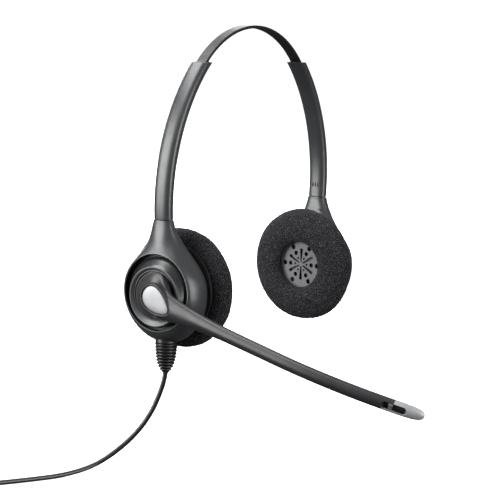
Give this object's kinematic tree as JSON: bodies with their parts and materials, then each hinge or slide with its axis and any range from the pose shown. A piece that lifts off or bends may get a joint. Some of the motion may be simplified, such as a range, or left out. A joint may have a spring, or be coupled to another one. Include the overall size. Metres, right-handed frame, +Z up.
{
  "type": "office headset",
  "caption": "Over-the-head two-ear headset with foam ear cushions, telescoping side arms, a turning microphone boom on one side and a short cord with a quick-disconnect plug.",
  "frame": {"origin": "middle of the headband strap's underside at the crown, where it rests on the head", "axes": "+Z up, X from ear to ear with the wearer's left ear at +X and the right ear, the boom and the cord at -X, -Y forward along the boom"},
  "size_m": [0.2334, 0.2837, 0.2135],
  "materials": {
    "strap": "satin black",
    "spring_steel": "bright",
    "wire": "matt",
    "inner_plastic": "matt",
    "shell": "satin charcoal",
    "grille": "satin grey",
    "silver": "satin silver",
    "foam": "open-cell foam",
    "film": "clear film",
    "steel": "plated",
    "magnet": "nickel plated",
    "copper": "enamelled wire",
    "board": "solder mask",
    "cord": "semi-gloss",
    "contacts": "gold flash"
  },
  "bodies": {
    "headband": {"headband_strap": "strap", "headband_spring": "spring_steel", "link_wire": "wire", "slider_rivets": "spring_steel", "left_slider": "inner_plastic", "right_slider": "inner_plastic", "left_detent_leaf": "spring_steel", "right_detent_leaf": "spring_steel"},
    "left_arm": {"left_arm_shell": "shell", "left_arm_cover": "shell", "left_arm_guide": "inner_plastic"},
    "right_arm": {"right_arm_shell": "shell", "right_arm_cover": "shell", "right_arm_guide": "inner_plastic"},
    "left_earpiece": {"left_swivel_pin": "spring_steel", "left_swivel_clip": "spring_steel", "left_housing_shell": "shell", "left_housing_cover": "shell", "left_cover_screws": "spring_steel", "left_capsule_frame": "inner_plastic", "left_grille": "grille", "left_diaphragm": "film", "left_driver_basket": "inner_plastic", "left_magnet_yoke": "steel", "left_magnet": "magnet", "left_voice_coil": "copper", "left_cushion": "foam", "left_cap": "inner_plastic"},
    "right_earpiece": {"right_swivel_pin": "spring_steel", "right_swivel_clip": "spring_steel", "right_housing_shell": "shell", "right_housing_cover": "shell", "right_cover_screws": "spring_steel", "right_capsule_frame": "inner_plastic", "right_grille": "grille", "right_diaphragm": "film", "right_driver_basket": "inner_plastic", "right_magnet_yoke": "steel", "right_magnet": "magnet", "right_voice_coil": "copper", "right_cushion": "foam", "turret_base": "inner_plastic", "terminal_board": "board", "strain_relief": "cord", "cord": "cord", "cord_coil": "cord", "cord_tail": "cord", "connector_upper_shell": "inner_plastic", "connector_lower_shell": "inner_plastic", "connector_contacts": "contacts", "connector_boot": "cord"},
    "boom": {"boom_hub": "inner_plastic", "detent_washer": "spring_steel", "boom_clip": "spring_steel", "boom_arm": "shell", "boom_insert": "silver", "boom_core": "inner_plastic", "mic_capsule": "steel", "mic_boot": "cord", "mic_cap": "silver"}
  },
  "joints": [
    {"name": "left_height", "type": "hinge", "parent": "headband", "child": "left_arm", "pos_m": [-0.02449, 0, -0.08086], "axis": [0, 1, 0], "range_deg": [0, 16]},
    {"name": "right_height", "type": "hinge", "parent": "headband", "child": "right_arm", "pos_m": [0.02449, 0, -0.08086], "axis": [0, -1, 0], "range_deg": [0, 16]},
    {"name": "left_swivel", "type": "hinge", "parent": "left_arm", "child": "left_earpiece", "pos_m": [0.06676, 0, -0.08884], "axis": [-0.0872, 0, -0.9962], "range_deg": [-15, 15]},
    {"name": "right_swivel", "type": "hinge", "parent": "right_arm", "child": "right_earpiece", "pos_m": [-0.06676, 0, -0.08884], "axis": [0.0872, 0, -0.9962], "range_deg": [-15, 15]},
    {"name": "boom_turn", "type": "hinge", "parent": "right_earpiece", "child": "boom", "pos_m": [-0.0755, -0.0017, -0.1241], "axis": [-1, 0, 0], "range_deg": [-20, 225]}
  ]
}
